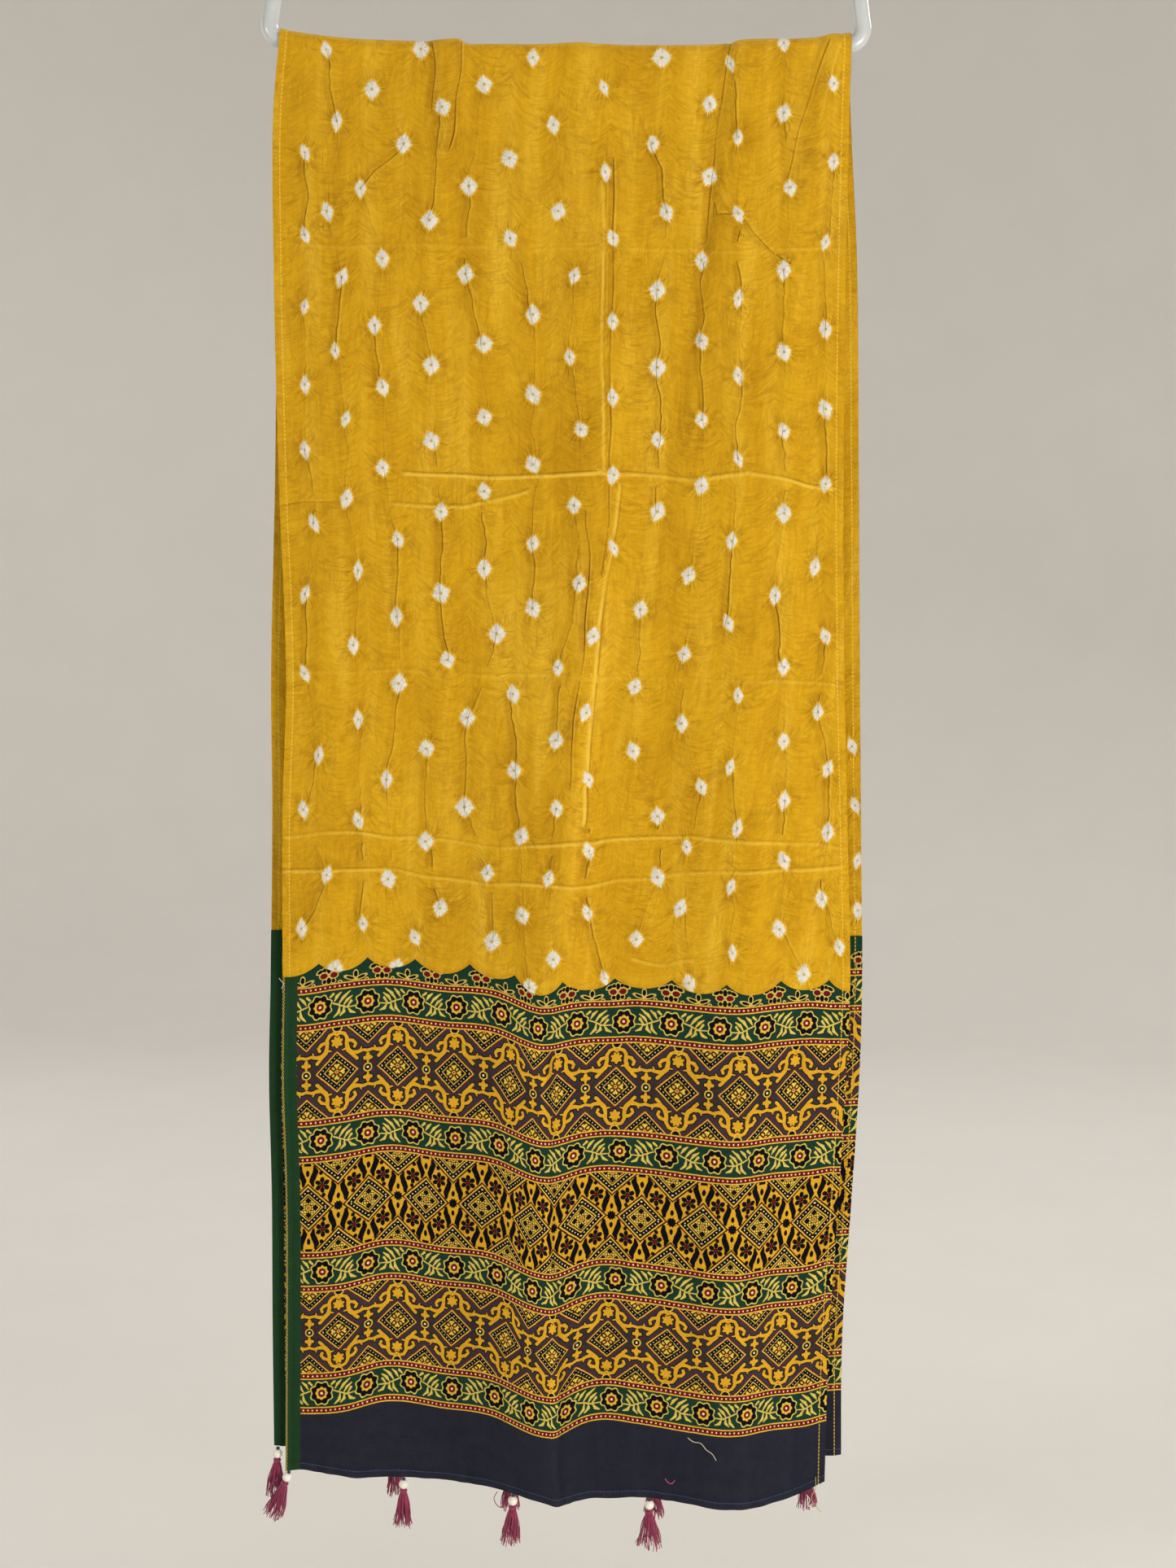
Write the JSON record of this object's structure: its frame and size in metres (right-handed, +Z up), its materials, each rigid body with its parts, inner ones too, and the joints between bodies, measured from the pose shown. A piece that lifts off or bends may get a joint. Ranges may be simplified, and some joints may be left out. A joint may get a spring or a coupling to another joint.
{
  "type": "bandhani stole on a coat hanger",
  "caption": "Tie-dyed cotton stole with printed border ends, beads and tassels, draped over the bar of a plastic tube hanger.",
  "frame": {"origin": "inner crown of the hanger's hook, where a rail carries it", "axes": "+Z up, -Y towards the viewer of the cloth's front half, +X to that viewer's right"},
  "size_m": [0.4563, 0.0625, 1.3665],
  "materials": {
    "hanger": "glossy pale grey moulded plastic",
    "field": "mustard yellow tie-dyed cotton, crinkled",
    "print": "printed cotton in green, maroon, yellow, slate and navy",
    "tassel": "maroon pink cotton thread",
    "bead": "glossy ivory"
  },
  "bodies": {
    "root": {"hanger": "hanger", "bandhani_field": "field", "print_panel_front": "print", "print_panel_back": "print", "tassel_front_corner": "tassel", "tassel_front_left": "tassel", "tassel_front_middle": "tassel", "tassel_front_right": "tassel", "tassel_back_corner": "tassel", "tassel_back_left": "tassel", "tassel_back_middle": "tassel", "tassel_back_right": "tassel", "tassel_back_far_right": "tassel", "bead_front_corner": "bead", "bead_front_left": "bead", "bead_front_middle": "bead", "bead_front_right": "bead", "bead_back_corner": "bead", "bead_back_left": "bead", "bead_back_middle": "bead", "bead_back_right": "bead", "bead_back_far_right": "bead"}
  },
  "joints": []
}
